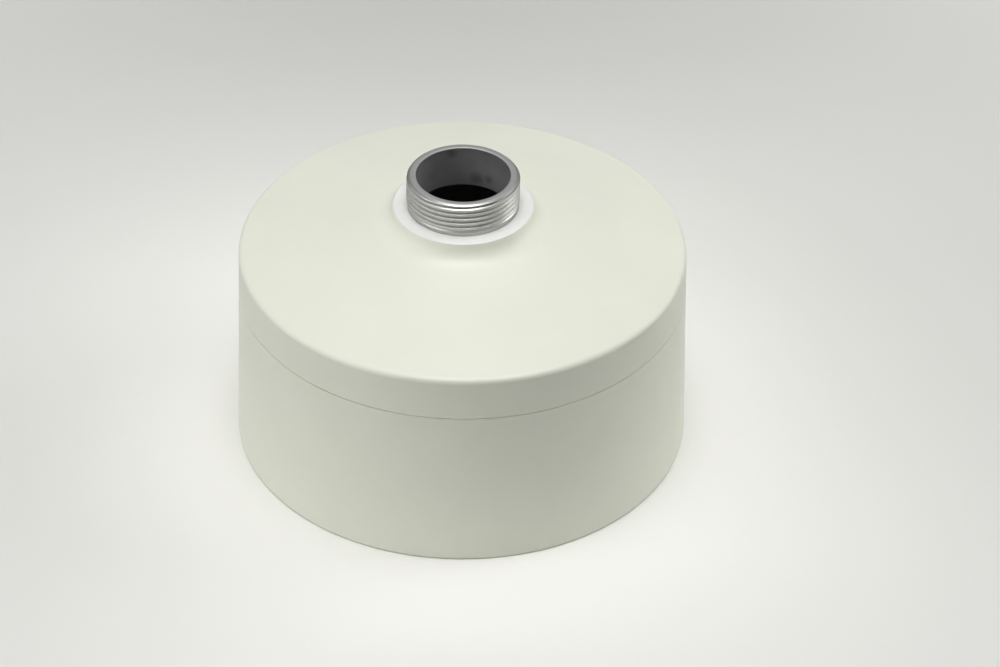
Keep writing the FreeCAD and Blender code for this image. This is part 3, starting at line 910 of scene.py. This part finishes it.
@dataclass(frozen=True)
class InnerFittings:
    """Everything inside the drum, dressed as it comes."""

    metal: tuple[str, ...] = ("camera_plate", "ground_washer", "ground_screw", "tether_eye")
    rubber: tuple[str, ...] = ("nipple_seal", "seam_gasket", "cable_grommet")
    sets: tuple[str, ...] = ("housing_screw", "plate_screw", "camera_nut")
    count: int = 4

    def build(self, palette: Palette) -> None:
        """Dress the plate, the seals and the fasteners.

        Args:
            palette: The mount's materials.
        """
        fasteners = tuple(f"{word}_{i + 1}" for word in self.sets for i in range(self.count))
        for node in self.metal + fasteners:
            dress_node(node, palette.zinc)
        for node in self.rubber:
            dress_node(node, palette.rubber)


@dataclass(frozen=True)
class Softbox:
    """One area lamp of the studio."""

    name: str
    place: tuple[float, float, float]
    aim: tuple[float, float, float]
    size: Pair
    watts: float
    spread: float = 180.0

    def build(self) -> None:
        """Hang the lamp and turn it to its aim."""
        lamp = bpy.data.lights.new(self.name, "AREA")
        lamp.shape = "RECTANGLE"
        lamp.size, lamp.size_y = self.size
        lamp.energy = self.watts
        lamp.spread = math.radians(self.spread)
        thing = bpy.data.objects.new(self.name, lamp)
        bpy.context.scene.collection.objects.link(thing)
        look = Vector(self.aim) - Vector(self.place)
        thing.matrix_world = (Matrix.Translation(self.place)
                              @ look.to_track_quat("-Z", "Y").to_matrix().to_4x4())
        log.info("lamp %s", self.name)


@dataclass(frozen=True)
class Studio:
    """Pale floor, soft lamps and an even world that lights nothing but reflections."""

    floor_size: float = 6.0
    floor_colour: Colour = (0.87, 0.87, 0.835)
    floor_roughness: float = 0.9
    floor_glow: float = 0.52
    glow_from: float = 0.20
    glow_to: float = 0.60
    mirrored: float = 0.50
    mirrored_colour: Colour = (1.0, 1.0, 1.0)
    backdrop: Colour = (0.80, 0.80, 0.775)
    lamps: tuple[Softbox, ...] = (
        Softbox("lamp_top", (0.0, -0.08, 0.90), (0.0, -0.02, 0.0),
                (0.6, 0.6), watts=0.485, spread=30.0),
        Softbox("lamp_top_wide", (0.0, -0.02, 0.75), (0.0, -0.02, 0.0),
                (0.6, 0.6), watts=0.385, spread=60.0),
        Softbox("lamp_left", (-1.5, -0.5, 0.684), (0.0, 0.0, 0.06), (0.8, 1.4), watts=6.1),
        Softbox("lamp_left_back", (-1.5, 0.5, 0.684), (0.0, 0.0, 0.06), (0.8, 1.4), watts=1.6),
        Softbox("lamp_front_left", (-1.28, -1.28, 0.604), (0.0, 0.0, 0.06),
                (0.8, 1.28), watts=4.9),
        Softbox("lamp_right", (1.55, 0.4, 0.684), (0.0, 0.0, 0.06), (0.96, 1.6), watts=11.7),
    )

    def floor_material(self) -> bpy.types.Material:
        """Make the floor's material.

        Returns:
            A matte pale floor whose glow grows with the distance, for the camera only.
        """
        surface = Surface("pale_floor", self.floor_colour)
        middle = surface.add("ShaderNodeVectorMath", {0: surface.place}, operation="LENGTH")
        far = surface.add("ShaderNodeMapRange", {
            "Value": middle.outputs["Value"], "From Min": self.glow_from,
            "From Max": self.glow_to, "To Max": self.floor_glow,
        }, interpolation_type="SMOOTHSTEP")
        ray = surface.add("ShaderNodeLightPath")
        glow = surface.maths("MULTIPLY", far.outputs["Result"], ray.outputs["Is Camera Ray"])
        surface.material.cycles.emission_sampling = "NONE"
        return surface.finish({
            "Base Color": shade(self.floor_colour),
            "Emission Color": shade(self.floor_colour),
            "Emission Strength": glow,
            "Roughness": self.floor_roughness,
        })

    def lay_floor(self) -> None:
        """Lay the floor under the drum's rim."""
        maker = bmesh.new()
        bmesh.ops.create_grid(maker, x_segments=1, y_segments=1, size=self.floor_size / 2)
        mesh = bpy.data.meshes.new("floor")
        maker.to_mesh(mesh)
        maker.free()
        mesh.materials.append(self.floor_material())
        floor = bpy.data.objects.new("floor", mesh)
        bpy.context.scene.collection.objects.link(floor)

    def hang_backdrop(self) -> None:
        """Make a world that the camera sees and shiny surfaces mirror."""
        world = bpy.data.worlds.new("studio")
        bpy.context.scene.world = world
        world.use_nodes = True
        world.node_tree.nodes.clear()
        nodes = Nodes(world.node_tree)
        ray = nodes.add("ShaderNodeLightPath")
        seen = ray.outputs["Is Camera Ray"]
        dull = nodes.maths("MULTIPLY", ray.outputs["Is Glossy Ray"], self.mirrored)
        plain = nodes.add("ShaderNodeBackground", {
            "Strength": nodes.maths("MAXIMUM", seen, dull),
            "Color": nodes.blend(seen, shade(self.mirrored_colour), shade(self.backdrop))})
        nodes.add("ShaderNodeOutputWorld", {"Surface": plain.outputs[0]})

    def build(self) -> None:
        """Set up the floor, the world and the lamps."""
        self.lay_floor()
        self.hang_backdrop()
        for lamp in self.lamps:
            lamp.build()
        bpy.context.scene.view_settings.view_transform = "Standard"


@dataclass(frozen=True)
class Viewpoint:
    """The photograph's camera, worked out from the drum's outline."""

    centre_height: float = 60.0 * MM
    distance: float = 1506.0 * MM
    elevation: float = 36.58
    roll: float = 0.417
    focal_pixels: float = 3500.0
    width: int = 1000
    height: int = 667
    centre_at: Pair = (462.36, 305.13)
    sensor: float = 36.0
    clip: Pair = (0.05, 20.0)

    def build(self) -> None:
        """Place the camera and make it the scene's own."""
        tilt, roll = math.radians(self.elevation), math.radians(self.roll)
        centre = Vector((0.0, 0.0, self.centre_height))
        ahead = Vector((0.0, math.cos(tilt), -math.sin(tilt)))
        level = Vector((1.0, 0.0, 0.0))
        upright = Vector((0.0, math.sin(tilt), math.cos(tilt)))
        right = level * math.cos(roll) + upright * math.sin(roll)
        up = upright * math.cos(roll) - level * math.sin(roll)
        eye = centre - ahead * self.distance
        per_pixel = self.distance / self.focal_pixels
        aim = (centre + right * (self.width / 2 - self.centre_at[0]) * per_pixel
               - up * (self.height / 2 - self.centre_at[1]) * per_pixel)
        look = (aim - eye).normalized()
        side = look.cross(up).normalized()
        top = side.cross(look)
        data = bpy.data.cameras.new("camera")
        data.sensor_width = self.sensor
        data.lens = self.focal_pixels * self.sensor / self.width
        data.clip_start, data.clip_end = self.clip
        camera = bpy.data.objects.new("camera", data)
        bpy.context.scene.collection.objects.link(camera)
        turn = Matrix((side, top, -look)).transposed().to_4x4()
        camera.matrix_world = Matrix.Translation(eye) @ turn
        bpy.context.scene.camera = camera
        log.info("camera %.0f mm lens", data.lens)


def main() -> None:
    """Build and dress the whole mount, its studio and its camera."""
    logging.basicConfig(level=logging.INFO, format="%(name)s: %(message)s")
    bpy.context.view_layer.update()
    palette = Palette.build()
    Castings().build(palette)
    ThreadedNipple().build(palette)
    SealingWasher().build(palette)
    InnerFittings().build(palette)
    Studio().build()
    Viewpoint().build()


if __name__ == "__main__":
    main()
